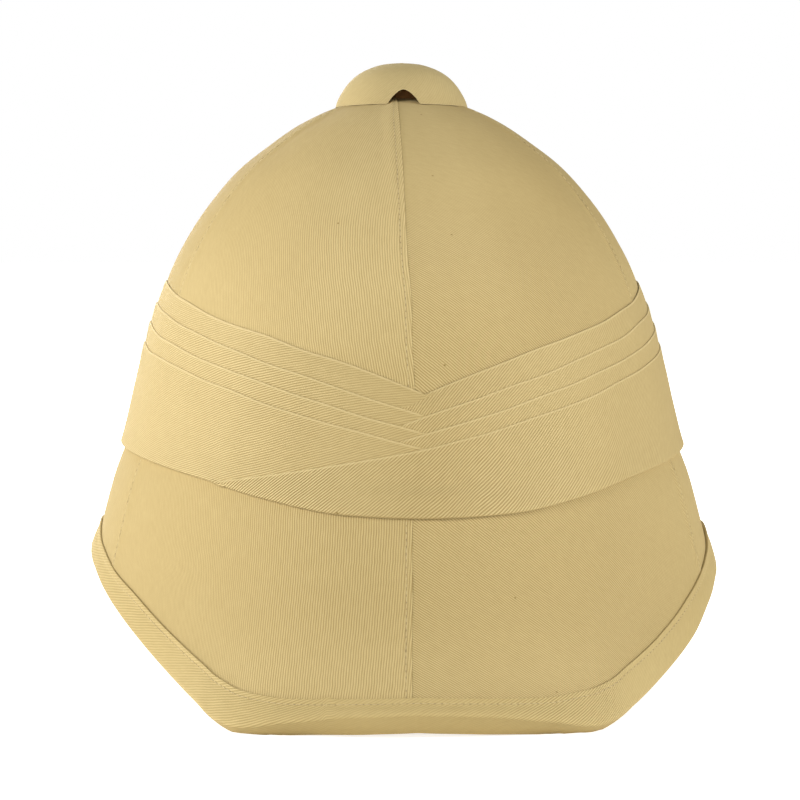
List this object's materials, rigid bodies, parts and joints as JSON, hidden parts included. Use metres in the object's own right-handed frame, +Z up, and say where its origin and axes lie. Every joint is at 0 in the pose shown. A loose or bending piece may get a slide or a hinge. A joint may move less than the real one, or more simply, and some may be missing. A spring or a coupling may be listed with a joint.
{
  "type": "pith helmet (sun helmet)",
  "caption": "Pith sun helmet in khaki twill with six sewn panels, a bound rim, a pleated crossed wrap and a domed ventilator cap.",
  "frame": {"origin": "bottom centre of the helmet's bounding box, on the surface that it stands on", "axes": "+Z up out of the crown, -Y the way the wearer faces, +Y towards the neck guard at the back, +X the wearer's left"},
  "size_m": [0.2546, 0.352, 0.2531],
  "materials": {
    "pith": "dry, porous pith",
    "cover_cloth": "matt twill weave",
    "binding_cloth": "matt twill weave",
    "wrap_cloth": "matt twill weave",
    "cap_cloth": "matt twill weave"
  },
  "bodies": {
    "root": {"pith_shell": "pith", "cover_back_left": "cover_cloth", "cover_side_left": "cover_cloth", "cover_front_left": "cover_cloth", "cover_front_right": "cover_cloth", "cover_side_right": "cover_cloth", "cover_back_right": "cover_cloth", "rim_binding": "binding_cloth", "wrap_left_fold_1": "wrap_cloth", "wrap_left_fold_2": "wrap_cloth", "wrap_left_fold_3": "wrap_cloth", "wrap_left_fold_4": "wrap_cloth", "wrap_right_fold_1": "wrap_cloth", "wrap_right_fold_2": "wrap_cloth", "wrap_right_fold_3": "wrap_cloth", "wrap_right_fold_4": "wrap_cloth", "vent_cap": "cap_cloth"}
  },
  "joints": []
}
